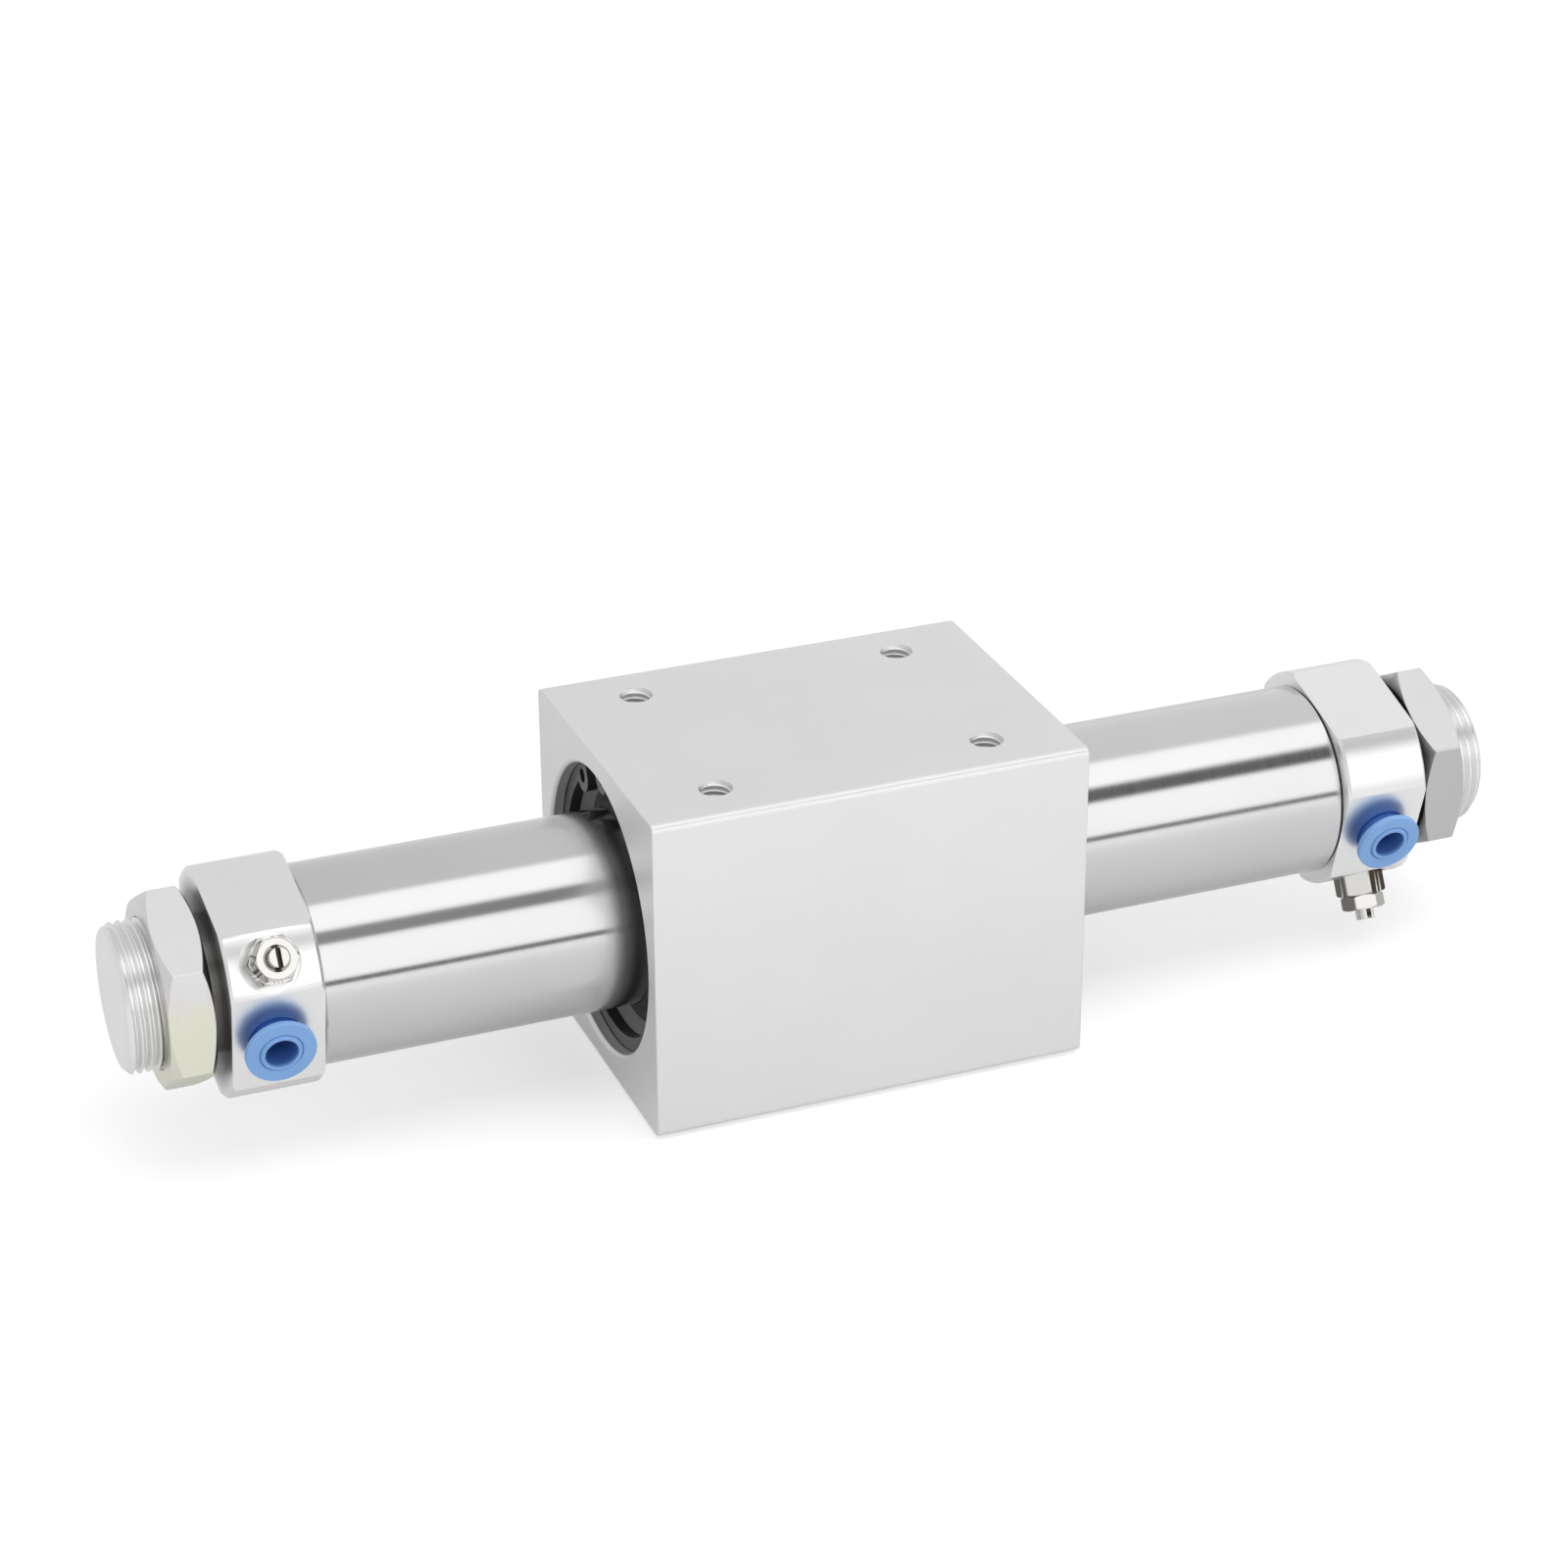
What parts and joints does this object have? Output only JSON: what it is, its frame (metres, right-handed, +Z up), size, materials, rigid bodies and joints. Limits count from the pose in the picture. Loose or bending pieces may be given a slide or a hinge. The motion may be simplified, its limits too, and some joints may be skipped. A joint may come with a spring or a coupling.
{
  "type": "magnetically coupled rodless cylinder",
  "caption": "Pneumatic rodless cylinder: a slider block is carried along a closed steel tube by magnets, with threaded noses, needle valves and plugged ports at its ends.",
  "frame": {"origin": "on the tube's axis, midway between the ends of the two noses", "axes": "+X along the tube, from the left cover to the right one; +Z up through the slider's mounting face with the tapped holes; -Y the side that carries the ports"},
  "size_m": [0.256, 0.06, 0.06],
  "materials": {
    "stainless": "polished stainless steel",
    "block": "satin anodised",
    "nickel": "satin, nickel plated",
    "inner_aluminium": "machined",
    "plated_steel": "nickel plated",
    "dark_steel": "dark phosphate",
    "yoke_steel": "zinc plated",
    "magnet": "nickel-plated rare-earth magnet",
    "plated_brass": "nickel plated",
    "blue_plastic": "moulded, satin",
    "black_rubber": "moulded",
    "wear_plastic": "filled resin",
    "bumper_rubber": "urethane"
  },
  "bodies": {
    "cylinder": {"cylinder_tube": "stainless", "head_cover_left": "nickel", "tube_gasket_left": "black_rubber", "cushion_seal_left": "black_rubber", "mounting_nut_left": "plated_steel", "needle_bushing_left": "plated_brass", "needle_locknut_left": "plated_brass", "head_cover_right": "nickel", "tube_gasket_right": "black_rubber", "cushion_seal_right": "black_rubber", "mounting_nut_right": "plated_steel", "needle_bushing_right": "plated_brass", "needle_locknut_right": "plated_brass"},
    "slider": {"slider_block": "block", "retaining_ring_left": "dark_steel", "end_ring_left": "inner_aluminium", "slider_wear_ring_left": "wear_plastic", "scraper_left": "black_rubber", "retaining_ring_right": "dark_steel", "end_ring_right": "inner_aluminium", "slider_wear_ring_right": "wear_plastic", "scraper_right": "black_rubber", "outer_yoke_1": "yoke_steel", "outer_yoke_2": "yoke_steel", "outer_yoke_3": "yoke_steel", "outer_yoke_4": "yoke_steel", "outer_yoke_5": "yoke_steel", "outer_magnet_1": "magnet", "outer_magnet_2": "magnet", "outer_magnet_3": "magnet", "outer_magnet_4": "magnet"},
    "piston": {"piston_shaft": "yoke_steel", "piston_head_left": "inner_aluminium", "piston_wear_ring_left": "wear_plastic", "piston_seal_left": "black_rubber", "piston_bumper_left": "bumper_rubber", "cushion_plunger_left": "yoke_steel", "piston_head_right": "inner_aluminium", "piston_wear_ring_right": "wear_plastic", "piston_seal_right": "black_rubber", "piston_bumper_right": "bumper_rubber", "cushion_plunger_right": "yoke_steel", "inner_yoke_1": "yoke_steel", "inner_yoke_2": "yoke_steel", "inner_yoke_3": "yoke_steel", "inner_yoke_4": "yoke_steel", "inner_yoke_5": "yoke_steel", "inner_magnet_1": "magnet", "inner_magnet_2": "magnet", "inner_magnet_3": "magnet", "inner_magnet_4": "magnet"},
    "needle_left": {"needle_screw_left": "plated_brass"},
    "needle_right": {"needle_screw_right": "plated_brass"},
    "plug_left": {"port_plug_left": "blue_plastic"},
    "plug_right": {"port_plug_right": "blue_plastic"}
  },
  "joints": [
    {"name": "slider_slide", "type": "slide", "parent": "cylinder", "child": "slider", "axis": [1, 0, 0], "range_m": [-0.048, 0.052]},
    {"name": "piston_slide", "type": "slide", "parent": "cylinder", "child": "piston", "axis": [1, 0, 0], "range_m": [-0.048, 0.052]},
    {"name": "needle_left_turn", "type": "hinge", "parent": "cylinder", "child": "needle_left", "pos_m": [-0.1045, 0, 0], "axis": [0, -0.8387, 0.5446], "range_deg": [-360, 1080]},
    {"name": "needle_right_turn", "type": "hinge", "parent": "cylinder", "child": "needle_right", "pos_m": [0.1045, 0, 0], "axis": [0, -0.4848, -0.8746], "range_deg": [-360, 1080]},
    {"name": "plug_left_pull", "type": "slide", "parent": "cylinder", "child": "plug_left", "axis": [0, -0.9781, -0.2079], "range_m": [0, 0.012]},
    {"name": "plug_right_pull", "type": "slide", "parent": "cylinder", "child": "plug_right", "axis": [0, -0.9613, -0.2756], "range_m": [0, 0.012]}
  ],
  "couplings": [
    {"joint": "piston_slide", "follows": "slider_slide", "ratio": 1}
  ]
}
